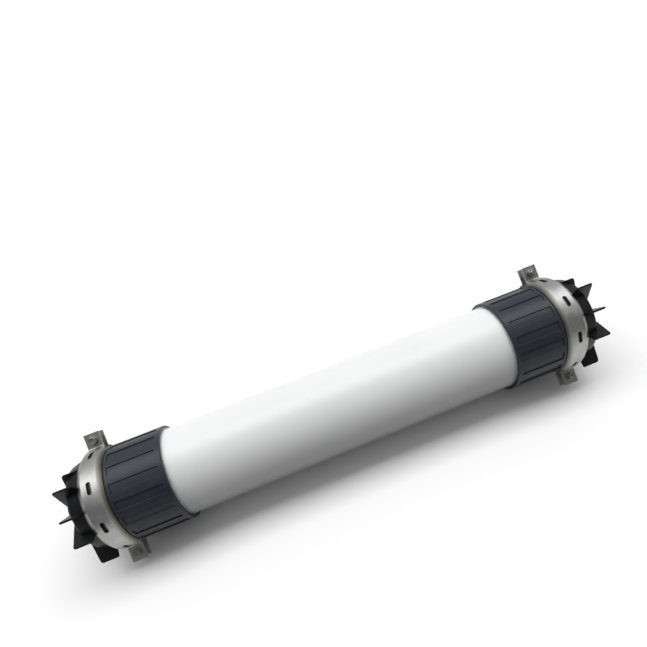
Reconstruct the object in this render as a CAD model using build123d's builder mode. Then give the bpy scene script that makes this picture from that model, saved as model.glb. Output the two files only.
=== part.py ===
"""Ultrafiltration membrane module: a white pressure tube with a glued collar, a V-band clamp and a finned end cap
at each end, and a potted bundle of hollow fibres inside.

The tube's axis is the X axis and its middle is the origin. The module lies on two fins of each cap, +Z up.
Lengths are in millimetres and angles in degrees. An angle round the axis is measured in the YZ plane, from +Y
towards +Z.
"""
import os
from math import asin, cos, degrees, hypot, radians, sin, tan

from build123d import *

os.makedirs("parts", exist_ok=True)

# Clearances
glue_gap = 0.15
face_gap = 0.1
clamp_gap = 0.3
bolt_gap = 0.15
ring_gap = 0.15

# Shell tube
shell_outer_radius = 100.0
shell_wall = 7.7
shell_length = 964.0

# Collar
collar_socket_depth = 91.0
collar_length = 149.0
collar_wall = 9.05
collar_rim_chamfer = 1.5
recess_count = 18
recess_angle = 10.5
recess_depth = 2.4
recess_rim_land = 10.0
recess_clamp_land = 35.0
recess_first_angle = {"left": 113.1, "right": 107.3}
shoulder_run = 6.5
shoulder_end_slope = (0.35, -1)

# V-band clamp, two halves at each end
clamp_sheet = 2.8
band_flat_width = 33.0
band_rise = 12.7
flank_run = 9.5
flank_drop = 7.5
flank_bend_radius = 4.0
flank_end_rise = 20.0
ear_strip_rise = 23.0
ear_gap = 18.0
ear_height = 35.0
ear_width = 34.0
ear_bend_radius = 4.0
slot_length = 27.0
slot_width = 9.5
slots_per_half = 4
slot_pitch_angle = 43.5

# Clamp bolts
bolt_diameter = 10.0
bolt_hole_diameter = 11.0
bolt_centre_height = 17.0
bolt_head_across_flats = 16.0
bolt_head_height = 6.4
bolt_tail = 4.0
nut_height = 8.4
washer_diameter = 20.0
washer_thickness = 2.0
hex_chamfer = 1.0

# End cap
cap_bore_ledge = 3.3
cap_depth = 59.0
cap_edge_drop = 5.0
cap_edge_round = 7.0
cap_wall = 11.0
cap_face_wall = 13.0
cap_dome_rise = 12.0
hub_radius = 38.0
hub_reach = 92.0
hub_socket_radius = 31.6
hub_socket_depth = 36.0
hub_ledge = 7.0
hub_waterway_radius = 25.0
hub_chamfer = 1.5
fin_rise = 27.0
fin_thickness = 4.5
fin_corner_reach = 67.0
fin_corner_round = 7.0
fin_heel_round = 3.0
fin_edge_round = 1.8
fin_top_slope = 14.0
fin_pitch_angle = 28.0
last_fin_angle = 73.5
short_fin_angle = -54.5
short_fin_rise = 5.0
short_fin_corner_reach = 65.0
fin_clamp_gap = 1.5
fin_foot_depth = 2.0

# Seal between collar and cap
seal_width = 5.4
seal_height = 4.8
seal_round = 2.2

# Permeate ports, one on each collar
port_from_end = 42.0
port_angle = 330.0
port_outer_radius = 25.0
port_bore_radius = 20.0
port_spigot_step = 1.0
port_shoulder = 5.0
port_projection = 65.0
port_seat_depth = 4.5
port_chamfer = 1.5
boss_wall = 7.5
boss_rise = 30.0
boss_root = 0.8

# Fibre bundle, its net and its potting
bundle_space = 8.8
fibre_hole_radius = 3.0
fibre_hole_pitch = 17.5
fibre_edge_land = 10.0
potting_length = 46.0
potting_recess = 2.0
net_thickness = 1.5
net_window_radius = 14.0
net_windows_around = 12
net_window_rows = 8

# Turn of the module about its axis: the direction that the front clamp halves and the front fins face
front_angle = 132.0

# Places that follow from the sizes
shell_inner_radius = shell_outer_radius - shell_wall
shell_end = shell_length / 2
collar_bore_radius = shell_outer_radius + glue_gap
collar_outer_radius = collar_bore_radius + collar_wall
band_inner_radius = shell_outer_radius + band_rise
cap_bore_radius = shell_inner_radius - cap_bore_ledge
cap_edge_radius = shell_outer_radius - cap_edge_drop
fin_tip_radius = shell_outer_radius + fin_rise
short_fin_tip_radius = shell_outer_radius + short_fin_rise
bundle_radius = shell_inner_radius - bundle_space
fibre_rings = int((bundle_radius - fibre_edge_land) / fibre_hole_pitch)
collar_start = shell_end - collar_socket_depth
mating_reach = collar_start + collar_length
port_axial = shell_end - port_from_end
band_outer_radius = band_inner_radius + clamp_sheet
band_half_width = band_flat_width / 2
lip_reach = band_half_width + flank_run
lip_outer_radius = band_outer_radius - flank_drop
flange_radius = band_inner_radius - clamp_gap
ear_top_radius = band_outer_radius + ear_height
bolt_centre_radius = band_outer_radius + bolt_centre_height
boss_radius = port_outer_radius + boss_wall
boss_reach = shell_outer_radius + boss_rise
port_reach = shell_outer_radius + port_projection
spigot_radius = port_outer_radius - port_spigot_step
potting_outer_radius = shell_inner_radius - glue_gap
potting_inner_radius = bundle_radius + glue_gap
potting_face = mating_reach - potting_recess
potting_start = potting_face - potting_length


def radial(angle):
    """Unit vector square to the axis, at an angle round it."""
    return Vector(0, cos(radians(angle)), sin(radians(angle)))


def profile_plane(side, angle=90.0, axial=0.0):
    """Plane through the axis: local X runs outward along the axis on that side, local Y is the radius."""
    outward = Vector(side, 0, 0)
    return Plane(origin=(side * axial, 0, 0), x_dir=outward, z_dir=outward.cross(radial(angle)))


def flank_point(radius, inset):
    """Distance from the mating plane, at a radius, of the clamp flank moved inward by inset."""
    slope_length = hypot(flank_run, flank_drop)
    start_x = band_half_width - inset * flank_drop / slope_length
    start_radius = band_outer_radius - inset * flank_run / slope_length
    return start_x + (start_radius - radius) * flank_run / flank_drop


# The neck that the clamp's lips reach over, and the V flange that they draw together
lip_inner_radius = lip_outer_radius - clamp_sheet * flank_run / hypot(flank_run, flank_drop)
neck_radius = lip_inner_radius - clamp_gap
seal_mean_radius = (shell_inner_radius + neck_radius) / 2
flange_corner = flank_point(flange_radius, clamp_sheet + clamp_gap)
flange_root = flank_point(neck_radius, clamp_sheet + clamp_gap)

ends = (("left", -1), ("right", 1))

# Shell tube, with a window at each end that opens into the permeate port
with BuildPart() as shell_tube:
    with BuildSketch(Plane.YZ.offset(-shell_length / 2)):
        Circle(shell_outer_radius)
        Circle(shell_inner_radius, mode=Mode.SUBTRACT)
    extrude(amount=shell_length)
    for side_name, side in ends:
        window_plane = Plane(origin=(side * port_axial, 0, 0), x_dir=(1, 0, 0), z_dir=radial(port_angle))
        with BuildSketch(window_plane.offset(shell_inner_radius - shell_wall)):
            Circle(port_bore_radius)
        extrude(amount=3 * shell_wall, mode=Mode.SUBTRACT)
shell_tube.part.label = "shell_tube"
export_step(shell_tube.part, "parts/shell_tube.step")

# Collars
for side_name, side in ends:
    seal_groove_half = seal_width / 2 + ring_gap
    with BuildPart() as collar:
        with BuildSketch(profile_plane(side)):
            with BuildLine():
                shoulder_start = mating_reach - lip_reach - shoulder_run
                shoulder_end = mating_reach - lip_reach
                Polyline(
                    (shoulder_end, neck_radius),
                    (mating_reach - flange_root, neck_radius),
                    (mating_reach - flange_corner, flange_radius),
                    (mating_reach - face_gap, flange_radius),
                    (mating_reach - face_gap, shell_inner_radius),
                    (shell_end + glue_gap, shell_inner_radius),
                    (shell_end + glue_gap, collar_bore_radius),
                    (collar_start, collar_bore_radius),
                    (collar_start, collar_outer_radius - collar_rim_chamfer),
                    (collar_start + collar_rim_chamfer, collar_outer_radius),
                    (shoulder_start, collar_outer_radius),
                )
                Spline(
                    (shoulder_start, collar_outer_radius),
                    (shoulder_end, neck_radius),
                    tangents=((1, 0), shoulder_end_slope),
                )
            make_face()
        revolve(axis=Axis.X)
        # Shallow lengthways recesses that stop short of both ends
        recess_length = collar_length - recess_rim_land - recess_clamp_land
        for index in range(recess_count):
            start_angle = recess_first_angle[side_name] + index * 360 / recess_count
            with BuildSketch(profile_plane(side, start_angle, collar_start + recess_rim_land)):
                with Locations((0, collar_outer_radius - recess_depth)):
                    Rectangle(recess_length, 2 * recess_depth, align=(Align.MIN, Align.MIN))
            revolve(axis=Axis.X, revolution_arc=recess_angle, mode=Mode.SUBTRACT)
        # Boss for the permeate port
        port_plane = Plane(origin=(side * port_axial, 0, 0), x_dir=(1, 0, 0), z_dir=radial(port_angle))
        boss_foot = collar_bore_radius + boss_root
        with BuildSketch(port_plane.offset(boss_foot)):
            Circle(boss_radius)
        extrude(amount=boss_reach - boss_foot)
        seat_radius = shell_outer_radius + port_seat_depth
        with BuildSketch(port_plane.offset(seat_radius)):
            Circle(spigot_radius + glue_gap)
        extrude(amount=boss_reach - seat_radius, mode=Mode.SUBTRACT)
        with BuildSketch(port_plane.offset(shell_inner_radius)):
            Circle(port_bore_radius)
        extrude(amount=seat_radius - shell_inner_radius, mode=Mode.SUBTRACT)
        # Groove for the seal in the flange face
        with BuildSketch(Plane.YZ.offset(side * (mating_reach - face_gap))):
            Circle(seal_mean_radius + seal_groove_half)
            Circle(seal_mean_radius - seal_groove_half, mode=Mode.SUBTRACT)
        extrude(amount=-side * (seal_height + ring_gap), mode=Mode.SUBTRACT)
    collar.part.label = f"{side_name}_collar"
    export_step(collar.part, f"parts/{side_name}_collar.step")

    # Elastomer ring, squeezed nearly flat between the two flange faces
    with BuildPart() as cap_seal:
        with BuildSketch(profile_plane(side, axial=mating_reach + face_gap - ring_gap / 2)):
            with Locations((0, seal_mean_radius)):
                RectangleRounded(seal_height, seal_width, seal_round, align=(Align.MAX, Align.CENTER))
        revolve(axis=Axis.X)
    cap_seal.part.label = f"{side_name}_cap_seal"
    export_step(cap_seal.part, f"parts/{side_name}_cap_seal.step")

    # Permeate port: a pipe stub with a shoulder on the boss and a spigot glued inside it
    with BuildPart() as permeate_port:
        with BuildSketch(port_plane.offset(seat_radius + glue_gap)):
            Circle(spigot_radius)
        extrude(amount=boss_reach - seat_radius)
        with BuildSketch(port_plane.offset(boss_reach + glue_gap)):
            Circle(boss_radius)
        extrude(amount=port_shoulder)
        with BuildSketch(port_plane.offset(boss_reach + port_shoulder)):
            Circle(port_outer_radius)
        extrude(amount=port_reach - boss_reach - port_shoulder)
        mouth = permeate_port.faces().sort_by(Axis((0, 0, 0), radial(port_angle)))[-1].edges()
        chamfer(mouth, port_chamfer)
        with BuildSketch(port_plane.offset(seat_radius)):
            Circle(port_bore_radius)
        extrude(amount=port_reach - seat_radius, mode=Mode.SUBTRACT)
    permeate_port.part.label = f"{side_name}_permeate_port"
    export_step(permeate_port.part, f"parts/{side_name}_permeate_port.step")

# End caps
fin_start = lip_reach + fin_clamp_gap
fin_foot_radius = hub_radius - fin_foot_depth
wall_middle_start = (neck_radius + cap_bore_radius) / 2
wall_middle_end = cap_edge_radius - cap_wall / 2
cavity_depth = cap_depth - cap_face_wall
cavity_radius = cap_edge_radius - cap_wall
cavity_slope_share = (cavity_radius - hub_radius) / (cavity_radius - hub_waterway_radius)
socket_floor = hub_reach - hub_socket_depth


def fin_plate(plane, tip_radius, corner_reach):
    """One fin, a flat plate with rounded edges that stands in a plane through the axis."""
    reach_at_hub = corner_reach + (tip_radius - fin_foot_radius) * tan(radians(fin_top_slope))
    with BuildPart() as fin:
        with BuildSketch(plane) as fin_profile:
            with BuildLine():
                Polyline(
                    (fin_start, wall_middle_start),
                    (fin_start, tip_radius),
                    (corner_reach, tip_radius),
                    (reach_at_hub, fin_foot_radius),
                    (cap_depth + cap_dome_rise / 2, fin_foot_radius),
                    (cap_depth - cap_face_wall / 2, wall_middle_end),
                    (fin_start, wall_middle_start),
                )
            make_face()
            fillet(fin_profile.vertices().sort_by_distance((corner_reach, tip_radius))[0], fin_corner_round)
            fillet(fin_profile.vertices().sort_by_distance((fin_start, tip_radius))[0], fin_heel_round)
        extrude(amount=fin_thickness / 2, both=True)
        plate_faces = fin.faces().sort_by(Axis((0, 0, 0), plane.z_dir))
        fillet(plate_faces[0].edges() + plate_faces[-1].edges(), fin_edge_round)
    return fin.part


for side_name, side in ends:
    fin_plane = profile_plane(side, front_angle, mating_reach)
    full_fin = fin_plate(fin_plane, fin_tip_radius, fin_corner_reach)
    short_fin = fin_plate(fin_plane, short_fin_tip_radius, short_fin_corner_reach)
    with BuildPart() as end_cap:
        # Body of revolution: V flange, tapered side, domed face and hub
        with BuildSketch(profile_plane(side, axial=mating_reach)) as body_profile:
            with BuildLine():
                Polyline(
                    (face_gap, cap_bore_radius),
                    (face_gap, flange_radius),
                    (flange_corner, flange_radius),
                    (flange_root, neck_radius),
                    (lip_reach, neck_radius),
                    (cap_depth, cap_edge_radius),
                    (cap_depth + cap_dome_rise, hub_radius),
                    (hub_reach, hub_radius),
                    (hub_reach, hub_socket_radius),
                    (socket_floor, hub_socket_radius),
                    (socket_floor, hub_waterway_radius),
                    (socket_floor - hub_ledge, hub_waterway_radius),
                    (socket_floor - hub_ledge, hub_radius),
                    (cavity_depth + cap_dome_rise * cavity_slope_share, hub_radius),
                    (cavity_depth, cavity_radius),
                    (face_gap, cap_bore_radius),
                )
            make_face()
            fillet(body_profile.vertices().sort_by_distance((cap_depth, cap_edge_radius))[0], cap_edge_round)
        revolve(axis=Axis.X)
        hub_rim = end_cap.edges().filter_by(GeomType.CIRCLE).sort_by(Axis.X)
        outermost = hub_rim[-2:] if side > 0 else hub_rim[:2]
        chamfer(outermost, hub_chamfer)
        # Fins in two groups, clear of the clamp's ears so that a spanner reaches the bolts. The front group has one
        # short fin and one set farther round.
        front_turns = [step * fin_pitch_angle for step in (-1, 0, 1)] + [last_fin_angle]
        back_turns = [180 + step * fin_pitch_angle for step in (-2, -1, 0, 1, 2)]
        full_fins = [full_fin.rotate(Axis.X, turn) for turn in front_turns + back_turns]
        add([*full_fins, short_fin.rotate(Axis.X, short_fin_angle)])
    end_cap.part.label = f"{side_name}_end_cap"
    export_step(end_cap.part, f"parts/{side_name}_end_cap.step")

# Clamp halves, each bent from one sheet: a flat band, two flanks and an ear at each end
half_gap = ear_gap / 2
flank_end_angle = degrees(asin(flank_end_rise / band_inner_radius))
flank_corner = flank_point(band_inner_radius, clamp_sheet)
lip_inner_reach = lip_reach - clamp_sheet * flank_drop / hypot(flank_run, flank_drop)
for side_name, side in ends:
    for half_name, half_angle in (("front", front_angle), ("back", front_angle + 180)):
        facing = radial(half_angle)
        across = facing.cross(Vector(1, 0, 0))
        with BuildPart() as clamp_half:
            # Band and bent-in flanks, which stop short of the ears
            with BuildSketch(profile_plane(side, half_angle - 90 + flank_end_angle, mating_reach)) as band_profile:
                with BuildLine():
                    Polyline(
                        (-lip_inner_reach, lip_inner_radius),
                        (-lip_reach, lip_outer_radius),
                        (-band_half_width, band_outer_radius),
                        (band_half_width, band_outer_radius),
                        (lip_reach, lip_outer_radius),
                        (lip_inner_reach, lip_inner_radius),
                        (flank_corner, band_inner_radius),
                        (-flank_corner, band_inner_radius),
                        (-lip_inner_reach, lip_inner_radius),
                    )
                make_face()
                for bend_reach in (-band_half_width, band_half_width):
                    bend = band_profile.vertices().sort_by_distance((bend_reach, band_outer_radius))[0]
                    fillet(bend, flank_bend_radius)
                for bend_reach in (-flank_corner, flank_corner):
                    bend = band_profile.vertices().sort_by_distance((bend_reach, band_inner_radius))[0]
                    fillet(bend, flank_bend_radius - clamp_sheet)
            revolve(axis=Axis.X, revolution_arc=180 - 2 * flank_end_angle)
            # Flat strip at each end of the band, bent out into an ear: local X runs along the ears, local Y outward
            section_plane = Plane(
                origin=(side * mating_reach, 0, 0), x_dir=across, z_dir=across.cross(facing)
            )
            with BuildSketch(section_plane) as ear_section:
                Circle(band_outer_radius)
                Circle(band_inner_radius, mode=Mode.SUBTRACT)
                with Locations((0, half_gap)):
                    Rectangle(
                        4 * band_outer_radius, 2 * band_outer_radius,
                        align=(Align.CENTER, Align.MAX), mode=Mode.SUBTRACT,
                    )
                with Locations((0, ear_strip_rise)):
                    Rectangle(
                        4 * band_outer_radius, 2 * band_outer_radius,
                        align=(Align.CENTER, Align.MIN), mode=Mode.SUBTRACT,
                    )
                ear_root = (band_inner_radius + band_outer_radius) / 2
                for direction in (-1, 1):
                    with Locations((direction * (ear_root + ear_top_radius) / 2, half_gap + clamp_sheet / 2)):
                        Rectangle(ear_top_radius - ear_root, clamp_sheet)
                bend_height = half_gap + clamp_sheet
                bend_place = (band_outer_radius**2 - bend_height**2) ** 0.5
                for direction in (-1, 1):
                    bend = ear_section.vertices().sort_by_distance((direction * bend_place, bend_height))[0]
                    fillet(bend, ear_bend_radius)
            extrude(amount=ear_width / 2, both=True)
            # Oblong slots along the band
            for index in range(slots_per_half):
                slot_angle = half_angle + (index - (slots_per_half - 1) / 2) * slot_pitch_angle
                slot_plane = Plane(
                    origin=(side * mating_reach, 0, 0),
                    x_dir=radial(slot_angle + 90),
                    z_dir=radial(slot_angle),
                )
                with BuildSketch(slot_plane.offset(band_inner_radius - 3 * clamp_sheet)):
                    SlotOverall(slot_length, slot_width)
                extrude(amount=5 * clamp_sheet, mode=Mode.SUBTRACT)
            # Bolt holes through the ears
            with BuildSketch(Plane(origin=(side * mating_reach, 0, 0), x_dir=(1, 0, 0), z_dir=facing)):
                for direction in (-1, 1):
                    with Locations((0, direction * bolt_centre_radius)):
                        Circle(bolt_hole_diameter / 2)
            extrude(amount=half_gap + 2 * clamp_sheet, mode=Mode.SUBTRACT)
        clamp_half.part.label = f"{side_name}_clamp_{half_name}"
        export_step(clamp_half.part, f"parts/{side_name}_clamp_{half_name}.step")

# Clamp bolts, nuts and washers: the heads face the front at the left end and the back at the right end
bolt_reach = half_gap + clamp_sheet
for side_name, side in ends:
    head_facing = radial(front_angle) if side < 0 else radial(front_angle + 180)
    for ear_name, ear_angle in (("top", front_angle - 90), ("bottom", front_angle + 90)):
        ear_centre = Vector(side * mating_reach, 0, 0) + radial(ear_angle) * bolt_centre_radius
        bolt_plane = Plane(origin=ear_centre, x_dir=(1, 0, 0), z_dir=head_facing)
        nut_seat = bolt_reach + washer_thickness
        with BuildPart() as clamp_bolt:
            with BuildSketch(bolt_plane.offset(nut_seat)):
                RegularPolygon(bolt_head_across_flats / 2, 6, major_radius=False)
            extrude(amount=bolt_head_height)
            head_rim = clamp_bolt.faces().sort_by(Axis(ear_centre, head_facing))[-1].edges()
            chamfer(head_rim, hex_chamfer / 2)
            with BuildSketch(bolt_plane.offset(nut_seat)):
                Circle(bolt_diameter / 2)
            extrude(amount=-(2 * nut_seat + nut_height + bolt_tail))
            tail_end = clamp_bolt.faces().sort_by(Axis(ear_centre, head_facing))[0].edges()
            chamfer(tail_end, hex_chamfer)
        clamp_bolt.part.label = f"{side_name}_clamp_bolt_{ear_name}"
        export_step(clamp_bolt.part, f"parts/{side_name}_clamp_bolt_{ear_name}.step")

        with BuildPart() as clamp_nut:
            with BuildSketch(bolt_plane.offset(-nut_seat)):
                RegularPolygon(bolt_head_across_flats / 2, 6, major_radius=False)
                Circle(bolt_diameter / 2 + bolt_gap, mode=Mode.SUBTRACT)
            extrude(amount=-nut_height)
            nut_rim = clamp_nut.faces().sort_by(Axis(ear_centre, head_facing))[0].outer_wire().edges()
            chamfer(nut_rim, hex_chamfer / 2)
        clamp_nut.part.label = f"{side_name}_clamp_nut_{ear_name}"
        export_step(clamp_nut.part, f"parts/{side_name}_clamp_nut_{ear_name}.step")

        with BuildPart() as washers:
            for seat in (bolt_reach, -bolt_reach - washer_thickness):
                with BuildSketch(bolt_plane.offset(seat)):
                    Circle(washer_diameter / 2)
                    Circle(bolt_diameter / 2 + bolt_gap, mode=Mode.SUBTRACT)
                extrude(amount=washer_thickness)
        washers.part.label = f"{side_name}_washers_{ear_name}"
        export_step(washers.part, f"parts/{side_name}_washers_{ear_name}.step")

# Fibre bundle: one body, with a few wide bores in place of the thousands of fine ones
with BuildPart() as fibre_bundle:
    with BuildSketch(Plane.YZ.offset(-potting_face)):
        Circle(bundle_radius)
        Circle(fibre_hole_radius, mode=Mode.SUBTRACT)
        for ring in range(1, fibre_rings + 1):
            with PolarLocations(ring * fibre_hole_pitch, 6 * ring):
                Circle(fibre_hole_radius, mode=Mode.SUBTRACT)
    extrude(amount=2 * potting_face)
fibre_bundle.part.label = "fibre_bundle"
export_step(fibre_bundle.part, "parts/fibre_bundle.step")

# Potting rings, the resin between the bundle and the collar
for side_name, side in ends:
    with BuildPart() as potting:
        with BuildSketch(Plane.YZ.offset(side * potting_start)):
            Circle(potting_outer_radius)
            Circle(potting_inner_radius, mode=Mode.SUBTRACT)
        extrude(amount=side * potting_length)
    potting.part.label = f"{side_name}_potting"
    export_step(potting.part, f"parts/{side_name}_potting.step")

# Net sleeve round the bundle, between the potting rings
net_length = 2 * (potting_start - glue_gap)
with BuildPart() as bundle_net:
    with BuildSketch(Plane.YZ.offset(-net_length / 2)):
        Circle(potting_inner_radius + net_thickness)
        Circle(potting_inner_radius, mode=Mode.SUBTRACT)
    extrude(amount=net_length)
    window_step = net_length / net_window_rows
    for row in range(net_window_rows):
        row_place = -net_length / 2 + (row + 0.5) * window_step
        for index in range(net_windows_around // 2):
            window_angle = index * 360 / net_windows_around + (row % 2) * 180 / net_windows_around
            with BuildSketch(Plane(origin=(row_place, 0, 0), x_dir=(1, 0, 0), z_dir=radial(window_angle))):
                Circle(net_window_radius)
            extrude(amount=potting_outer_radius, both=True, mode=Mode.SUBTRACT)
bundle_net.part.label = "bundle_net"
export_step(bundle_net.part, "parts/bundle_net.step")
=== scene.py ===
"""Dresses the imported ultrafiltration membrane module: finishes for its plastic, steel and resin
pieces, threaded fasteners and glue beads as new meshes, and a pale studio with the camera at the
photograph's angle.

Everything is in metres in the module's own frame: X along the tube, Z up, the module's middle at
the origin.
"""

from collections import namedtuple
from math import cos, pi, radians, sin, tan

import bmesh
import bpy
import numpy as np
from bpy.props import FloatProperty, FloatVectorProperty, PointerProperty
from mathutils import Matrix, Vector


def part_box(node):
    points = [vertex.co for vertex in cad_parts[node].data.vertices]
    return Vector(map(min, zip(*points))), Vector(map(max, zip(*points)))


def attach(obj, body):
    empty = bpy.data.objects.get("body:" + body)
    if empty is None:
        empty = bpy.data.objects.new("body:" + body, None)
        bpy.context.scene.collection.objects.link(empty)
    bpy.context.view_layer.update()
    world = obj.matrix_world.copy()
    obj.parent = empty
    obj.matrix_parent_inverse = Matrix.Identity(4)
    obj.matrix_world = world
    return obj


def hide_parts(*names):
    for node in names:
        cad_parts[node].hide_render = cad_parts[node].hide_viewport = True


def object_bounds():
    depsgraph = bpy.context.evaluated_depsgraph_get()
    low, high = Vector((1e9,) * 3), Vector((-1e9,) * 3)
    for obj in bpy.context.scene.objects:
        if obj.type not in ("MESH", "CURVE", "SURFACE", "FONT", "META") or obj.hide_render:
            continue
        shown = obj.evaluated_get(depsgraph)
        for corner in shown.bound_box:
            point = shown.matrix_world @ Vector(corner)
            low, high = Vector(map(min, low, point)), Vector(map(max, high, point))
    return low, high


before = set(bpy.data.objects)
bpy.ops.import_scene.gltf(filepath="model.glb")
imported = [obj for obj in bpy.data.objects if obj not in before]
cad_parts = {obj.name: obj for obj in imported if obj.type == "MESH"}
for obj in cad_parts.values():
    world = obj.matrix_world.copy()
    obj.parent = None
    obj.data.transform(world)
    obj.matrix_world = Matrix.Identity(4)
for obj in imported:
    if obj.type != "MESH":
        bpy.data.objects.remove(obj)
cad_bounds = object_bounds()

bl_info = {
    "name": "Membrane Module Dresser",
    "version": (1, 0, 0),
    "blender": (4, 5, 0),
    "location": "3D View > Sidebar > Module",
    "description": "Finishes, fasteners and studio for a packed ultrafiltration membrane module",
    "category": "Object",
}

BODY = "root"
ENDS = ("left", "right")
EARS = ("top", "bottom")

# Points round the new pieces. A multiple of 12 puts points on a hexagon's corners and flats.
HEXAGON_POINTS = 48
WASHER_POINTS = 64
BEAD_POINTS = 192

# Edges of the new pieces that turn by more than this stay crisp.
CRISP_ANGLE = radians(28)

# The picture's width in pixels, and the width in millimetres that the lens is given for.
IMAGE_WIDTH = 647
SENSOR_WIDTH = 36.0

# From the module towards the soft box: nearly straight up, and a little behind.
LAMP_DIRECTION = Vector((0.0, 0.24, 1.0))

# Brightness of the studio at heights from the horizon, 0, to straight overhead, 1.
STUDIO_STOPS = ((0.0, 0.56), (0.12, 0.56), (0.40, 0.54), (0.75, 0.56), (1.0, 0.46))

# Where the studio's dim front ends and its full light starts, from -1, in front, to 1, behind.
STUDIO_FRONT_END = -0.90
STUDIO_FULL_START = 0.0


def node_box(name):
    """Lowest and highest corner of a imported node, as arrays."""
    low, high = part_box(name)
    return np.array(low), np.array(high)


def node_middle(name):
    """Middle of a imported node's box."""
    low, high = node_box(name)
    return (low + high) / 2


# The tube's outer radius, and how far from the middle a collar starts and a clamp has its middle.
TUBE_RADIUS = float(node_box("shell_tube")[1][2])
COLLAR_START = float(node_box("right_collar")[0][0])
CLAMP_MIDDLE = float(node_middle("right_clamp_front")[0])


class ModuleSizes(bpy.types.PropertyGroup):
    """Sizes of the pieces that are made here."""

    head_height: FloatProperty(
        name="Head height", description="Height of the bolt head's hexagon", default=0.0064,
        unit="LENGTH")
    across_flats: FloatProperty(
        name="Across flats", description="Width of the hexagons across their flats",
        default=0.016, unit="LENGTH")
    shank_radius: FloatProperty(
        name="Shank radius", description="Radius of the bolts over their threads",
        default=0.005, unit="LENGTH")
    thread_pitch: FloatProperty(
        name="Thread pitch", description="Distance from one thread to the next",
        default=0.0015, unit="LENGTH")
    thread_depth: FloatProperty(
        name="Thread depth", description="Depth of the thread on the radius",
        default=0.0009, unit="LENGTH")
    tail_length: FloatProperty(
        name="Tail length", description="How far a bolt stands out of its nut",
        default=0.004, unit="LENGTH")
    nut_height: FloatProperty(
        name="Nut height", description="Height of the nuts", default=0.0084, unit="LENGTH")
    washer_thickness: FloatProperty(
        name="Washer thickness", description="Thickness of the washers", default=0.002,
        unit="LENGTH")
    bead_leg: FloatProperty(
        name="Glue bead", description="Width of the glue bead along the tube", default=0.0026,
        unit="LENGTH")
    edge_softening: FloatProperty(
        name="Edge softening", description="Radius of moulded and rolled edges",
        default=0.0006, unit="LENGTH")


class ModuleColours(bpy.types.PropertyGroup):
    """Colours of the finishes."""

    shell: FloatVectorProperty(
        name="Shell", description="White rigid PVC of the tube", subtype="COLOR", size=3,
        min=0, max=1, default=(0.84, 0.845, 0.85))
    collar: FloatVectorProperty(
        name="Collar", description="Dark blue-grey PVC of the collars and ports",
        subtype="COLOR", size=3, min=0, max=1, default=(0.031, 0.036, 0.047))
    cap: FloatVectorProperty(
        name="Cap", description="Near-black PVC of the end caps", subtype="COLOR", size=3,
        min=0, max=1, default=(0.007, 0.0075, 0.009))
    stainless: FloatVectorProperty(
        name="Stainless", description="Rolled stainless sheet of the clamps",
        subtype="COLOR", size=3, min=0, max=1, default=(0.40, 0.398, 0.393))
    fastener: FloatVectorProperty(
        name="Fastener", description="Bolts, nuts and washers", subtype="COLOR", size=3,
        min=0, max=1, default=(0.33, 0.327, 0.320))
    glue: FloatVectorProperty(
        name="Glue", description="Cured solvent cement", subtype="COLOR", size=3,
        min=0, max=1, default=(0.42, 0.43, 0.42))
    rubber: FloatVectorProperty(
        name="Rubber", description="Seal between collar and cap", subtype="COLOR", size=3,
        min=0, max=1, default=(0.02, 0.02, 0.02))
    resin: FloatVectorProperty(
        name="Resin", description="Potting resin", subtype="COLOR", size=3,
        min=0, max=1, default=(0.52, 0.41, 0.22))
    fibre: FloatVectorProperty(
        name="Fibre", description="Hollow fibres", subtype="COLOR", size=3,
        min=0, max=1, default=(0.78, 0.77, 0.70))
    net: FloatVectorProperty(
        name="Net", description="Plastic net round the fibres", subtype="COLOR", size=3,
        min=0, max=1, default=(0.70, 0.72, 0.74))


class ModuleStage(bpy.types.PropertyGroup):
    """Camera, floor and light."""

    focal_length: FloatProperty(
        name="Focal length", description="Lens, for a picture 36 mm wide", default=25.18,
        unit="CAMERA")
    centre_x: FloatProperty(
        name="Lens centre across", description="Where the lens axis meets the picture",
        default=339.5, subtype="PIXEL")
    centre_y: FloatProperty(
        name="Lens centre down", description="Where the lens axis meets the picture",
        default=378.3, subtype="PIXEL")
    middle: FloatVectorProperty(
        name="Module's middle", description="Right of, below and away from the camera", size=3,
        default=(0.0052, 0.0667, 1.0584), unit="LENGTH")
    turn: FloatProperty(
        name="Turn", description="How far the right end is turned away",
        default=radians(4.76), subtype="ANGLE")
    tilt: FloatProperty(
        name="Tilt", description="How far the right end is raised in the picture",
        default=radians(21.3), subtype="ANGLE")
    view_angle: FloatProperty(
        name="View angle", description="Direction of the camera round the tube, from +Y towards +Z",
        default=radians(127.5), subtype="ANGLE")
    floor_size: FloatProperty(
        name="Floor size", description="Side of the floor", default=40.0, unit="LENGTH")
    lamp_power: FloatProperty(
        name="Lamp power", description="Power of the long overhead soft box", default=18400.0,
        unit="POWER")
    lamp_length: FloatProperty(
        name="Lamp length", description="Length of the soft box along the tube", default=90.0,
        unit="LENGTH")
    lamp_width: FloatProperty(
        name="Lamp width", description="Width of the soft box", default=20.0, unit="LENGTH")
    lamp_distance: FloatProperty(
        name="Lamp distance", description="Distance of the soft box from the module's middle",
        default=40.0, unit="LENGTH")
    front_share: FloatProperty(
        name="Front light", description="Share of the studio's light on the camera's side",
        default=0.18, min=0, max=1, subtype="FACTOR")
    floor_bounce: FloatProperty(
        name="Floor bounce", description="Grey of the floor as it lights the module",
        default=0.16, min=0, max=1, subtype="FACTOR")


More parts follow.
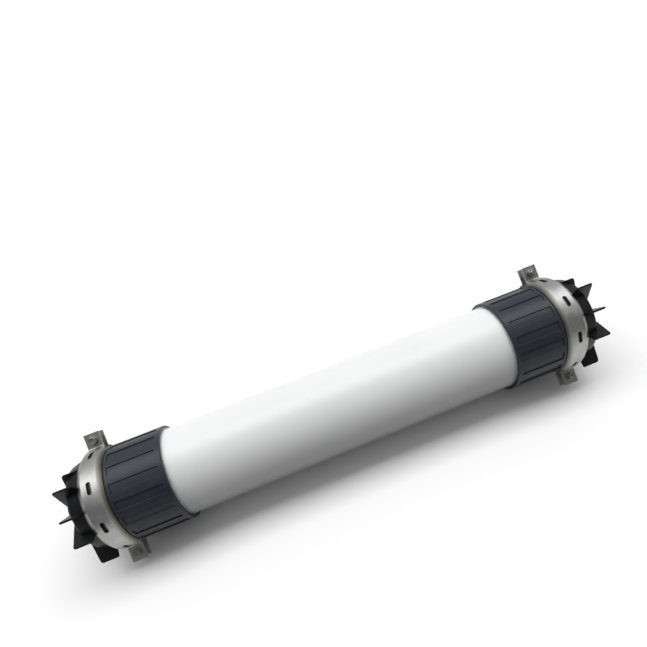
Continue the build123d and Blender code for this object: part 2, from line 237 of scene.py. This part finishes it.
class Number:
    """A number at a node's socket. Arithmetic on it adds the Math nodes."""

    def __init__(self, shading, socket):
        self.shading = shading
        self.socket = socket

    def math(self, operation, *others):
        """The number put through a Math node, alone or with others."""
        return self.shading.math(operation, self, *others)

    def __add__(self, other):
        return self.math("ADD", other)

    __radd__ = __add__

    def __sub__(self, other):
        return self.math("SUBTRACT", other)

    def __rsub__(self, other):
        return self.shading.math("SUBTRACT", other, self)

    def __mul__(self, other):
        return self.math("MULTIPLY", other)

    __rmul__ = __mul__

    def __abs__(self):
        return self.math("ABSOLUTE")

    def ramp(self, low, high):
        """0 below low, 1 above high, and a smooth step between."""
        settings = {"interpolation_type": "SMOOTHSTEP"}
        values = {0: self, 1: low, 2: high, 3: 0.0, 4: 1.0}
        return self.shading.node("ShaderNodeMapRange", settings, values)


class Shading:
    """The node tree of a material or of the world, and the nodes put into it."""

    def __init__(self, owner):
        owner.use_nodes = True
        self.tree = owner.node_tree
        self.tree.nodes.clear()

    def node(self, kind, settings=None, values=None, out=0):
        """Adds a node with its settings, then the values or links of its sockets.

        Gives the number at one of its outputs, if it has any.
        """
        added = self.tree.nodes.new(kind)
        for key, setting in (settings or {}).items():
            if key == "stops":
                self.set_stops(added.color_ramp, setting)
            else:
                setattr(added, key, setting)
        for key, value in (values or {}).items():
            self.put(added.inputs[key], value)
        return Number(self, added.outputs[out]) if added.outputs else None

    def put(self, socket, value):
        """Links a number to a socket, or sets the socket's value. Colours become opaque."""
        if isinstance(value, Number):
            self.tree.links.new(value.socket, socket)
        elif socket.type == "RGBA":
            socket.default_value = (*value, 1.0)
        else:
            socket.default_value = value

    def set_stops(self, ramp, stops):
        """Gives a colour ramp its stops, each a place and a grey."""
        while len(ramp.elements) < len(stops):
            ramp.elements.new(1.0)
        for element, (place, grey) in zip(ramp.elements, stops):
            element.position = place
            element.color = (grey, grey, grey, 1.0)

    def math(self, operation, *terms):
        """A Math node on numbers in their order."""
        return self.node("ShaderNodeMath", {"operation": operation}, dict(enumerate(terms)))

    def parts_of(self, vector):
        """The three numbers of a vector."""
        split = self.node("ShaderNodeSeparateXYZ", values={0: vector})
        return [Number(self, output) for output in split.socket.node.outputs]

    def mix(self, factor, first, second):
        """A colour between two."""
        values = {0: factor, 6: first, 7: second}
        return self.node("ShaderNodeMix", {"data_type": "RGBA"}, values, out=2)


class Finish(Shading):
    """A procedural material with one Principled shader, read on Object coordinates."""

    def __init__(self, name):
        self.material = bpy.data.materials.new(name)
        super().__init__(self.material)
        surface = self.node("ShaderNodeBsdfPrincipled")
        self.node("ShaderNodeOutputMaterial", values={0: surface})
        self.shader = surface.socket.node

    def set(self, **values):
        """Sets or links the Principled shader's sockets, named with underscores for spaces."""
        for key, value in values.items():
            title = key.replace("_", " ").title().replace("Ior", "IOR")
            self.put(self.shader.inputs[title], value)

    def place(self, stretch=(1, 1, 1)):
        """Object coordinates, scaled on each axis."""
        own = self.node("ShaderNodeTexCoord", out=3)
        return self.node("ShaderNodeMapping", {"vector_type": "POINT"}, {0: own, 3: stretch})

    def noise(self, scale=1.0, detail=3.0, roughness=0.5, stretch=(1, 1, 1)):
        """Cloudy noise about 0.5, with features 1 / (scale * stretch) metres wide."""
        values = {"Vector": self.place(stretch), "Scale": scale, "Detail": detail,
                  "Roughness": roughness}
        return self.node("ShaderNodeTexNoise", {"noise_dimensions": "3D"}, values)

    def cells(self, scale, randomness=1.0, stretch=(1, 1, 1)):
        """Distance to the nearest of scattered centres, scale of them to a metre, in parts of
        their spacing."""
        values = {"Vector": self.place(stretch), "Scale": scale, "Randomness": randomness}
        return self.node("ShaderNodeTexVoronoi", {"feature": "F1"}, values)

    def bump(self, height, depth, normal=None):
        """A normal tilted by a height, whose 1 stands for a depth in metres."""
        values = {"Height": height, "Distance": depth, "Strength": 1.0}
        if normal is not None:
            values["Normal"] = normal
        return self.node("ShaderNodeBump", values=values)

    def soft_edges(self, radius):
        """A normal that rounds sharp edges off by a radius."""
        return self.node("ShaderNodeBevel", {"samples": 4}, {"Radius": radius})

    def edge_mask(self, softened):
        """1 along sharp edges and 0 on open faces, from the softened normal's lean off the face:
        1 less the dot product of the two normals."""
        own = self.node("ShaderNodeNewGeometry", out=1)
        agreement = self.node(
            "ShaderNodeVectorMath", {"operation": "DOT_PRODUCT"}, {0: softened, 1: own}, out=1)
        lean = 1 - agreement
        return lean.ramp(0.01, 0.18)


def tint(colour, factor):
    """A colour made lighter or darker by a factor."""
    return tuple(min(1.0, channel * factor) for channel in colour)


def shell_finish(colour):
    """White extruded PVC: faint draw lines along the tube, long shallow ripples and slightly
    uneven gloss."""
    finish = Finish("shell_pvc")
    draw_lines = finish.noise(detail=4.0, roughness=0.6, stretch=(3, 420, 420))
    ripples = finish.noise(detail=1.0, roughness=0.4, stretch=(9, 16, 16))
    clouds = finish.noise(scale=7.0)
    smudges = finish.noise(scale=31.0, detail=5.0, roughness=0.65).ramp(0.55, 0.75)
    base = finish.mix(clouds.ramp(0.35, 0.7), tint(colour, 0.985), tint(colour, 1.01))
    base = finish.mix(smudges * 0.06, base, tint(colour, 0.80))
    surface = finish.bump(ripples, depth=0.0011)
    surface = finish.bump(draw_lines, depth=0.00002, normal=surface)
    finish.set(
        base_color=base, roughness=0.30 + clouds * 0.10 + smudges * 0.10, normal=surface)
    return finish.material


def moulded_finish(name, colour, edge_radius, dullness, shine, edge_wear_and_highlight):
    """Dark moulded PVC: fine spark-eroded grain, flow marks, softened edges, and edges made paler,
    partly as rubbing wear and partly as a painted highlight.

    Dullness is the least roughness, shine the specular level, and the last number how much of the
    paler colour shows on the edges, as wear and as painted highlight.
    """
    finish = Finish(name)
    grain = finish.noise(scale=1400.0, detail=2.0)
    flow = finish.noise(roughness=0.55, stretch=(14, 45, 45))
    handling = finish.noise(scale=24.0, detail=6.0, roughness=0.7).ramp(0.5, 0.8)
    softened = finish.soft_edges(edge_radius)
    edges = finish.edge_mask(softened)
    worn_and_highlit_edges = edges * finish.noise(scale=260.0, detail=4.0, roughness=0.7).ramp(0.25, 0.6)
    base = finish.mix(flow.ramp(0.3, 0.7), tint(colour, 0.90), tint(colour, 1.10))
    base = finish.mix(handling * 0.25, base, tint(colour, 1.6))
    # Paler edges: partly rubbing wear, partly a painted highlight along the edges.
    base = finish.mix(worn_and_highlit_edges * edge_wear_and_highlight, base, tint(colour, 5.0))
    surface = finish.bump(flow, depth=0.00025, normal=softened)
    surface = finish.bump(grain, depth=0.00003, normal=surface)
    finish.set(
        base_color=base, roughness=dullness + flow * 0.08 + handling * 0.10 + grain * 0.04,
        normal=surface, specular_ior_level=shine)
    return finish.material


def stainless_finish(colour, edge_radius):
    """Rolled stainless sheet: fine grain round the band, a dull haze, a straw tint where the
    flanks are bent, and painted shade on the flanks beside the collar and the cap.

    The tint and the painted shade start and end at distances along the tube from the band's middle.
    """
    bend_start, bend_end = 0.0152, 0.0185
    shade_start, shade_end = 0.0165, 0.0255
    straw = (colour[0] * 0.90, colour[1] * 0.90, colour[2] * 0.76)
    finish = Finish("stainless")
    grain = finish.noise(roughness=0.6, stretch=(1500, 60, 60))
    haze = finish.noise(scale=38.0, detail=5.0, roughness=0.6)
    waves = finish.noise(detail=1.0, roughness=0.4, stretch=(30, 22, 22))
    softened = finish.soft_edges(edge_radius)
    along, _, _ = finish.parts_of(finish.place())
    from_middle = abs(abs(along) - CLAMP_MIDDLE)
    bent = from_middle.ramp(bend_start, bend_end)
    painted_shade = from_middle.ramp(shade_start, shade_end)
    base = finish.mix(haze.ramp(0.3, 0.7), tint(colour, 0.88), tint(colour, 1.08))
    base = finish.mix(bent * 0.8, base, straw)
    # Painted shade: the flanks are darkened towards their rims, in the gaps beside the collar and
    # the cap.
    base = finish.mix(painted_shade * 0.85, base, tint(colour, 0.15))
    surface = finish.bump(waves, depth=0.0007, normal=softened)
    surface = finish.bump(grain, depth=0.000012, normal=surface)
    finish.set(
        base_color=base, metallic=1.0, roughness=0.37 + haze * 0.10 + grain * 0.04,
        normal=surface)
    return finish.material


def fastener_finish(colour):
    """Machined stainless: fine scratches and slightly dull patches."""
    finish = Finish("fastener_steel")
    scratches = finish.noise(detail=4.0, roughness=0.6, stretch=(900, 300, 2200))
    dull = finish.noise(scale=170.0, detail=4.0, roughness=0.6)
    base = finish.mix(dull.ramp(0.3, 0.7), tint(colour, 0.82), tint(colour, 1.1))
    surface = finish.bump(scratches, depth=0.00002)
    finish.set(base_color=base, metallic=1.0, roughness=0.26 + dull * 0.2, normal=surface)
    return finish.material


def glue_finish(colour):
    """Cured solvent cement: cloudy, glossy and slightly lumpy."""
    finish = Finish("glue")
    clouds = finish.noise(scale=120.0)
    lumps = finish.noise(scale=400.0, detail=2.0)
    base = finish.mix(clouds.ramp(0.3, 0.7), tint(colour, 0.8), tint(colour, 1.2))
    surface = finish.bump(lumps, depth=0.0003)
    finish.set(base_color=base, roughness=0.18 + clouds * 0.12, normal=surface)
    return finish.material


def rubber_finish(colour):
    """Black seal rubber with a dull, faintly mottled skin."""
    finish = Finish("seal_rubber")
    mottle = finish.noise(scale=300.0, detail=4.0)
    base = finish.mix(mottle, tint(colour, 0.7), tint(colour, 1.5))
    surface = finish.bump(mottle, depth=0.00008)
    finish.set(base_color=base, roughness=0.55 + mottle * 0.2, normal=surface)
    return finish.material


def resin_finish(colour):
    """Cut potting resin: amber, with saw marks across its face and small bubbles."""
    finish = Finish("resin")
    clouds = finish.noise(scale=60.0, detail=4.0)
    saw_marks = finish.noise(detail=2.0, stretch=(20, 1800, 30))
    pits = 1 - finish.cells(scale=420.0).ramp(0.05, 0.16)
    base = finish.mix(clouds.ramp(0.3, 0.7), tint(colour, 0.8), tint(colour, 1.15))
    # The bubble pits are painted darker: painted shade in the pits.
    base = finish.mix(pits * 0.5, base, tint(colour, 0.35))
    surface = finish.bump(saw_marks - pits * 2, depth=0.00006)
    finish.set(base_color=base, roughness=0.32 + clouds * 0.15, normal=surface)
    return finish.material


def fibre_finish(fibre, resin):
    """Fibre bundle: cut hollow fibres in resin on the end faces, lengthways strands on the
    sides."""
    finish = Finish("fibre")
    fibres = finish.cells(scale=620.0, randomness=0.75, stretch=(0, 1, 1))
    walls = 1 - fibres.ramp(0.34, 0.46)
    lumens = 1 - fibres.ramp(0.14, 0.22)
    facing_x, _, _ = finish.parts_of(finish.node("ShaderNodeNewGeometry", out=1))
    on_face = abs(facing_x).ramp(0.6, 0.9)
    strands = finish.noise(detail=2.0, stretch=(5, 900, 900))
    cut = finish.mix(walls, tint(resin, 0.9), fibre)
    # The open bores of the cut fibres are painted near black: painted shade in the holes.
    cut = finish.mix(lumens, cut, tint(resin, 0.12))
    side = finish.mix(strands.ramp(0.35, 0.65), tint(fibre, 0.7), tint(fibre, 1.05))
    base = finish.mix(on_face, side, cut)
    height = on_face * (walls * 0.4 - lumens) + (1 - on_face) * strands
    finish.set(base_color=base, roughness=0.5, normal=finish.bump(height, depth=0.0003))
    return finish.material


def net_finish(colour):
    """Extruded plastic netting: two sets of strands that cross, each the crests of a sine wave
    whose angle grows by rate for each metre."""
    rate = 900
    finish = Finish("net_plastic")
    along, over, up = finish.parts_of(finish.place())
    first = (along * rate + over * rate).math("SINE")
    second = (along * rate - up * rate).math("SINE")
    strands = first.math("MAXIMUM", second).ramp(0.2, 0.9)
    # Between the strands the net is painted darker: painted shade in its openings.
    base = finish.mix(strands, tint(colour, 0.55), colour)
    finish.set(base_color=base, roughness=0.42, normal=finish.bump(strands, depth=0.0004))
    return finish.material


def floor_finish(bounce):
    """Plain pale floor: white to the camera, to mirror-like surfaces and through clear ones, and
    a mid grey to its own bounce light."""
    white = 0.98
    finish = Finish("floor")
    camera, glossy, transmitted = (finish.node("ShaderNodeLightPath", out=name) for name in (
        "Is Camera Ray", "Is Glossy Ray", "Is Transmission Ray"))
    seen = camera.math("MAXIMUM", glossy).math("MAXIMUM", transmitted)
    colour = finish.mix(seen, (bounce, bounce, bounce), (white, white, white))
    finish.set(base_color=colour, roughness=0.9, specular_ior_level=0.0)
    return finish.material


def add_object(name, data):
    """Puts a mesh, a lamp or a camera into the scene as an object at the origin."""
    added = bpy.data.objects.new(name, data)
    bpy.context.scene.collection.objects.link(added)
    return added


def grid_quads(rows, columns, wrap_rows):
    """Quads that join each point of a grid with its neighbours: to the next column, round from
    the last to the first, and to the next row, also round if wrap_rows."""
    index = np.arange(rows * columns).reshape(rows, columns)
    upper = index if wrap_rows else index[:-1]
    lower = np.roll(index, -1, axis=0) if wrap_rows else index[1:]
    corners = [upper, np.roll(upper, -1, axis=1), np.roll(lower, -1, axis=1), lower]
    return np.stack(corners, axis=-1).reshape(-1, 4)


def weld_points(mesh):
    """Merges coincident points, as at poles, and points all faces outwards."""
    work = bmesh.new()
    work.from_mesh(mesh)
    bmesh.ops.remove_doubles(work, verts=work.verts, dist=1e-7)
    bmesh.ops.recalc_face_normals(work, faces=work.faces)
    work.to_mesh(mesh)
    work.free()


def make_piece(name, grids, wrap_rows, material):
    """A smooth mesh through grids of points, as an object at the origin that rides on the module.

    A grid is rows x columns x 3, and a piece's grids are of one size. Each is closed round its
    columns, and also round its rows if wrap_rows. A row whose points all coincide closes the
    surface like a pole.
    """
    rows, columns = grids[0].shape[:2]
    quads = grid_quads(rows, columns, wrap_rows)
    quads = np.concatenate([quads + number * rows * columns for number in range(len(grids))])
    points = np.concatenate([grid.reshape(-1, 3) for grid in grids])
    mesh = bpy.data.meshes.new(name)
    mesh.from_pydata(points.tolist(), [], quads.tolist())
    piece = add_object(name, mesh)
    weld_points(mesh)
    mesh.shade_smooth()
    mesh.set_sharp_from_angle(angle=CRISP_ANGLE)
    mesh.materials.append(material)
    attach(piece, BODY)
    return piece


def dress(node_names, material):
    """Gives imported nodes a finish."""
    for name in node_names:
        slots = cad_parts[name].data.materials
        slots.clear()
        slots.append(material)


BoltPlace = namedtuple("BoltPlace", "middle head along across")


def bolt_place(side, ear):
    """Where a bolt lies: the middle between its washers, and the unit directions along the bolt
    towards its head, along the tube, and across both."""
    middle = node_middle(f"{side}_washers_{ear}")
    towards_nut = node_middle(f"{side}_clamp_nut_{ear}") - middle
    head = -towards_nut / np.linalg.norm(towards_nut)
    along = np.array([1.0, 0.0, 0.0])
    return BoltPlace(middle, head, along, np.cross(head, along))


def around(count):
    """Angles that divide a full turn evenly."""
    return np.linspace(0, 2 * pi, count, endpoint=False)


def turned(rows, place, angles):
    """Points of a turned form, whose rows each have radii and heights at the angles.

    The point at angle a is middle + head * height + (along * cos a + across * sin a) * radius.
    """
    radius = np.stack([radii for radii, _ in rows])
    height = np.stack([heights for _, heights in rows])
    ring = place.along * np.cos(angles)[:, None] + place.across * np.sin(angles)[:, None]
    return place.middle + place.head * height[..., None] + ring * radius[..., None]


def levels(angles, *profile):
    """Rows of a round form, one for each radius and height of its profile."""
    return [(np.full_like(angles, radius), np.full_like(angles, height))
            for radius, height in profile]


def hexagon(angles, across_flats):
    """Distance from the centre to a hexagon's side at each angle: half the width over the cosine
    of the angle to the nearest flat."""
    to_flat = (angles + pi / 6) % (pi / 3) - pi / 6
    return across_flats / 2 / np.cos(to_flat)


def chamfered_hexagon(angles, across_flats, seat, top):
    """Rows of a bolt's head or of half a nut, from its seat to its top, the hexagon's corners
    cut by a cone that meets the top in a circle.

    Along the cone the height falls by slope for each unit of radius outside the circle.
    """
    slope = tan(radians(30))
    circle_share = 0.97
    circle = across_flats / 2 * circle_share
    side = hexagon(angles, across_flats)
    direction = 1.0 if top > seat else -1.0
    cut = top - direction * slope * (side - circle)
    return [(side, np.full_like(angles, seat)), (side, cut), *levels(angles, (circle, top))]


def thread_rows(angles, start, end, sizes):
    """Rows of a screw thread: the radius swings between crest and root once a pitch, and the
    wave turns with the angle.

    A ridge is a triangle wave from 0 at the root to 1 at the crest, made steeper about its
    middle and cut off at both. The swing grows from nothing over the first turns, where the tool
    ran in.
    """
    steps_per_turn = 8
    steepness = 1.5
    run_in_turns = 2
    count = int(abs(end - start) / sizes.thread_pitch * steps_per_turn)
    heights = np.linspace(start, end, count)
    phase = heights[:, None] / sizes.thread_pitch - angles[None, :] / (2 * pi)
    ridge = np.abs((phase % 1.0) * 2 - 1)
    ridge = np.clip(ridge * steepness - (steepness - 1) / 2, 0, 1)
    run_in = np.abs(heights - start) / (run_in_turns * sizes.thread_pitch)
    swing = sizes.thread_depth * np.clip(run_in, 0, 1)[:, None]
    radii = sizes.shank_radius - swing * (1 - ridge)
    return [(radius, np.full_like(angles, height)) for radius, height in zip(radii, heights)]


class MODULE_OT_shell(bpy.types.Operator):
    """Dress the shell tube"""

    bl_idname = "module.shell"
    bl_label = "Shell tube"

    def execute(self, context):
        dress(["shell_tube"], shell_finish(context.scene.module_colours.shell))
        return {"FINISHED"}


class MODULE_OT_collars(bpy.types.Operator):
    """Dress the collars and permeate ports"""

    bl_idname = "module.collars"
    bl_label = "Collars and ports"

    def execute(self, context):
        plastic = moulded_finish(
            "collar_pvc", context.scene.module_colours.collar,
            context.scene.module_sizes.edge_softening, dullness=0.27, shine=0.24, edge_wear_and_highlight=0.55)
        dress([f"{side}_collar" for side in ENDS], plastic)
        dress([f"{side}_permeate_port" for side in ENDS], plastic)
        return {"FINISHED"}


class MODULE_OT_caps(bpy.types.Operator):
    """Dress the finned end caps"""

    bl_idname = "module.caps"
    bl_label = "End caps"

    def execute(self, context):
        plastic = moulded_finish(
            "cap_pvc", context.scene.module_colours.cap,
            context.scene.module_sizes.edge_softening, dullness=0.32, shine=0.12, edge_wear_and_highlight=0.4)
        dress([f"{side}_end_cap" for side in ENDS], plastic)
        return {"FINISHED"}


class MODULE_OT_clamps(bpy.types.Operator):
    """Dress the V-band clamp halves"""

    bl_idname = "module.clamps"
    bl_label = "Clamps"

    def execute(self, context):
        steel = stainless_finish(
            context.scene.module_colours.stainless, context.scene.module_sizes.edge_softening)
        dress([f"{side}_clamp_{half}" for side in ENDS for half in ("front", "back")], steel)
        return {"FINISHED"}


class MODULE_OT_glue_beads(bpy.types.Operator):
    """Lay the glue beads where the tube enters the collars"""

    bl_idname = "module.glue_beads"
    bl_label = "Glue beads"

    def execute(self, context):
        leg = context.scene.module_sizes.bead_leg
        glue = glue_finish(context.scene.module_colours.glue)
        for number, side in enumerate(ENDS):
            self.lay(side, 1 if side == "right" else -1, number, leg, glue)
        return {"FINISHED"}

    def lay(self, name, sign, number, leg, glue):
        """A ring whose section is a hollow fillet between tube and collar, its legs wavering
        round the tube.

        Each leg is its mean times 1 plus three sine waves. The hollow side is a quarter of an
        ellipse about the fillet's outer corner, and the back is sunk into the collar.
        """
        rise_share = 0.7
        arc_points = 7
        sunk = COLLAR_START + 0.0004
        angles = around(BEAD_POINTS)
        waver = np.ones_like(angles)
        for swing, count, start in ((0.16, 3, number), (0.12, 8, 2.1), (0.07, 19, 0.7 * number)):
            waver = waver + swing * np.sin(count * angles + start)
        width = leg * waver
        rise = leg * rise_share * waver
        arc = np.linspace(0, pi / 2, arc_points)[:, None]
        hollow = COLLAR_START - width * (1 - np.sin(arc))
        along = np.vstack([hollow, np.full((2, len(angles)), sunk)])
        radius = np.vstack([
            TUBE_RADIUS + rise * (1 - np.cos(arc)), TUBE_RADIUS + rise,
            np.full_like(rise, TUBE_RADIUS)])
        points = np.stack(
            [sign * along, radius * np.cos(angles), radius * np.sin(angles)], axis=-1)
        make_piece(
            f"{name}_glue_bead", [points], wrap_rows=True, material=glue)


class MODULE_OT_fasteners(bpy.types.Operator):
    """Make the threaded bolts, the nuts and the washers of the clamps"""

    bl_idname = "module.fasteners"
    bl_label = "Bolts, nuts and washers"

    def execute(self, context):
        sizes = context.scene.module_sizes
        steel = fastener_finish(context.scene.module_colours.fastener)
        for side in ENDS:
            for ear in EARS:
                place = bolt_place(side, ear)
                seat = self.seat(side, ear, place, sizes)
                self.bolt(side, ear, place, seat, sizes, steel)
                self.nut(side, ear, place, seat, sizes, steel)
                self.washers(side, ear, place, seat, sizes, steel)
        return {"FINISHED"}

    def seat(self, side, ear, place, sizes):
        """How far from the middle the head and the nut sit, each on its washer."""
        towards_nut = node_middle(f"{side}_clamp_nut_{ear}") - place.middle
        return float(np.dot(towards_nut, -place.head)) - sizes.nut_height / 2

    def bolt(self, side, ear, place, seat, sizes, steel):
        """Hexagon head with a dished top and a washer face, plain neck, rolled thread and a
        chamfered tail, as one closed surface."""
        angles = around(HEXAGON_POINTS)
        top = seat + sizes.head_height
        dish = top - 0.0002
        face = seat + 0.0004
        fillet_end = seat - 0.0004
        neck_end = seat - 0.004
        thread_start = seat - 0.0042
        end = -(seat + sizes.nut_height + sizes.tail_length)
        thread_end = end + 0.0012
        chamfer_start = end + 0.0005

        dish_radius = sizes.across_flats * 0.36
        rim_radius = sizes.across_flats * 0.40
        face_radius = sizes.across_flats * 0.47
        seat_radius = sizes.across_flats * 0.46
        shank = sizes.shank_radius
        fillet_radius = shank * 1.06
        root_radius = shank - sizes.thread_depth
        tail_radius = shank * 0.72

        rows = levels(angles, (0.0, dish), (dish_radius, dish), (rim_radius, top))
        rows += chamfered_hexagon(angles, sizes.across_flats, face, top)[::-1]
        rows += levels(
            angles, (face_radius, face), (seat_radius, seat), (fillet_radius, seat),
            (shank, fillet_end), (shank, neck_end))
        rows += thread_rows(angles, thread_start, thread_end, sizes)
        rows += levels(angles, (root_radius, chamfer_start), (tail_radius, end), (0.0, end))
        piece = make_piece(
            f"{side}_bolt_{ear}", [turned(rows, place, angles)], wrap_rows=False,
            material=steel)
        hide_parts(f"{side}_clamp_bolt_{ear}")

    def nut(self, side, ear, place, seat, sizes, steel):
        """Hexagon nut chamfered at both ends, with countersunk mouths to its bore, as a closed
        ring."""
        angles = around(HEXAGON_POINTS)
        near = -seat
        far = near - sizes.nut_height
        middle = (near + far) / 2
        bore = sizes.shank_radius + 0.0001
        mouth = sizes.shank_radius + 0.0008
        mouth_depth = 0.0007
        rows = chamfered_hexagon(angles, sizes.across_flats, middle, near)[1:][::-1]
        rows += chamfered_hexagon(angles, sizes.across_flats, middle, far)[1:]
        rows += levels(
            angles, (mouth, far), (bore, far + mouth_depth), (bore, near - mouth_depth),
            (mouth, near))
        piece = make_piece(
            f"{side}_nut_{ear}", [turned(rows, place, angles)], wrap_rows=True,
            material=steel)
        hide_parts(f"{side}_clamp_nut_{ear}")

    def washers(self, side, ear, place, seat, sizes, steel):
        """Two flat rings with pressed, rounded rims, one on each ear plate.

        A rim is rounded off over the length soft. The point in the middle of the round lies in
        from the corner by cut, on the radius and on the height.
        """
        angles = around(WASHER_POINTS)
        outer = 0.01
        inner = sizes.shank_radius + 0.00015
        soft = 0.0005
        cut = soft * 0.3
        low, high = seat - sizes.washer_thickness, seat
        profile = (
            (inner, low), (outer - soft, low), (outer - cut, low + cut), (outer, low + soft),
            (outer, high - soft), (outer - cut, high - cut), (outer - soft, high),
            (inner, high))
        rings = []
        for sign in (1, -1):
            rows = levels(angles, *((radius, sign * height) for radius, height in profile))
            rings.append(turned(rows, place, angles))
        piece = make_piece(
            f"{side}_washer_pair_{ear}", rings, wrap_rows=True, material=steel)
        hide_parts(f"{side}_washers_{ear}")


class MODULE_OT_inner_pieces(bpy.types.Operator):
    """Dress the seals, the potting, the fibre bundle and its net"""

    bl_idname = "module.inner_pieces"
    bl_label = "Inner pieces"

    def execute(self, context):
        colours = context.scene.module_colours
        dress([f"{side}_cap_seal" for side in ENDS], rubber_finish(colours.rubber))
        dress([f"{side}_potting" for side in ENDS], resin_finish(colours.resin))
        dress(["fibre_bundle"], fibre_finish(colours.fibre, colours.resin))
        dress(["bundle_net"], net_finish(colours.net))
        return {"FINISHED"}


class MODULE_OT_stage(bpy.types.Operator):
    """Set the floor, the light and the camera"""

    bl_idname = "module.stage"
    bl_label = "Stage"

    def execute(self, context):
        stage = context.scene.module_stage
        self.floor(stage)
        self.lamp(stage)
        self.surroundings(context.scene, stage)
        self.camera(context.scene, stage)
        context.scene.view_settings.view_transform = "Standard"
        return {"FINISHED"}

    def floor(self, stage):
        """A flat square at the height of the module's lowest point."""
        half = stage.floor_size / 2
        height = float(cad_bounds[0][2])
        corners = [
            (-half, -half, height), (half, -half, height), (half, half, height),
            (-half, half, height)]
        mesh = bpy.data.meshes.new("floor")
        mesh.from_pydata(corners, [], [(0, 1, 2, 3)])
        mesh.materials.append(floor_finish(stage.floor_bounce))
        add_object("floor", mesh)

    def lamp(self, stage):
        """One long soft box in line with the tube, nearly overhead and a little behind."""
        data = bpy.data.lights.new("overhead", "AREA")
        data.energy = stage.lamp_power
        data.shape = "RECTANGLE"
        data.size = stage.lamp_length
        data.size_y = stage.lamp_width
        lamp = add_object("overhead", data)
        towards = LAMP_DIRECTION.normalized()
        lamp.location = towards * stage.lamp_distance
        lamp.rotation_euler = towards.to_track_quat("Z", "Y").to_euler()

    def surroundings(self, scene, stage):
        """A studio that is evenly bright behind the module, a little dimmer straight overhead,
        and darker on the camera's side."""
        scene.world = bpy.data.worlds.new("studio")
        studio = Shading(scene.world)
        _, away, up = studio.parts_of(studio.node("ShaderNodeTexCoord"))
        height = studio.node("ShaderNodeValToRGB", {"stops": STUDIO_STOPS}, {0: up})
        behind = away.ramp(STUDIO_FRONT_END, STUDIO_FULL_START)
        light = height * (behind * (1 - stage.front_share) + stage.front_share)
        background = studio.node("ShaderNodeBackground", values={0: light})
        studio.node("ShaderNodeOutputWorld", values={0: background})

    def camera(self, scene, stage):
        """The camera, from where the module's middle and axis lie as the camera sees them.

        In the camera's own axes, right, down and away, the tube points along (cos turn cos tilt,
        -cos turn sin tilt, sin turn). The view angle says which side of the tube faces the
        camera.
        """
        tube = Vector((
            cos(stage.turn) * cos(stage.tilt), -cos(stage.turn) * sin(stage.tilt),
            sin(stage.turn)))
        middle = Vector(stage.middle)
        facing = -(middle - tube * middle.dot(tube))
        facing.normalize()
        seen = Matrix((tube, facing, tube.cross(facing))).transposed()
        own_tube = Vector((1.0, 0.0, 0.0))
        own_facing = Vector((0.0, cos(stage.view_angle), sin(stage.view_angle)))
        own = Matrix((own_tube, own_facing, own_tube.cross(own_facing))).transposed()
        to_camera = Matrix.Translation(middle) @ (seen @ own.transposed()).to_4x4()
        flip = Matrix.Diagonal((1.0, -1.0, -1.0, 1.0))
        data = bpy.data.cameras.new("camera")
        data.sensor_width = SENSOR_WIDTH
        data.lens = stage.focal_length
        data.shift_x = (IMAGE_WIDTH / 2 - stage.centre_x) / IMAGE_WIDTH
        data.shift_y = (stage.centre_y - IMAGE_WIDTH / 2) / IMAGE_WIDTH
        scene.camera = add_object("camera", data)
        scene.camera.matrix_world = (flip @ to_camera).inverted()


STEPS = (
    MODULE_OT_stage, MODULE_OT_shell, MODULE_OT_collars, MODULE_OT_caps, MODULE_OT_clamps,
    MODULE_OT_glue_beads, MODULE_OT_fasteners, MODULE_OT_inner_pieces)


class MODULE_PT_panel(bpy.types.Panel):
    """Lists the steps in the 3D view's sidebar."""

    bl_idname = "MODULE_PT_panel"
    bl_label = "Membrane module"
    bl_space_type = "VIEW_3D"
    bl_region_type = "UI"
    bl_category = "Module"

    def draw(self, context):
        for step in STEPS:
            self.layout.operator(step.bl_idname)


CLASSES = (ModuleSizes, ModuleColours, ModuleStage, *STEPS, MODULE_PT_panel)


def register():
    """Makes the classes and the scene's three groups of settings known to Blender."""
    for item in CLASSES:
        bpy.utils.register_class(item)
    bpy.types.Scene.module_sizes = PointerProperty(type=ModuleSizes)
    bpy.types.Scene.module_colours = PointerProperty(type=ModuleColours)
    bpy.types.Scene.module_stage = PointerProperty(type=ModuleStage)


def unregister():
    """Takes the settings and the classes out again."""
    del bpy.types.Scene.module_stage
    del bpy.types.Scene.module_colours
    del bpy.types.Scene.module_sizes
    for item in reversed(CLASSES):
        bpy.utils.unregister_class(item)


def main():
    """Registers the add-on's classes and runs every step."""
    register()
    for step in STEPS:
        group, name = step.bl_idname.split(".")
        getattr(getattr(bpy.ops, group), name)()
    bpy.context.view_layer.update()


if __name__ == "__main__":
    main()
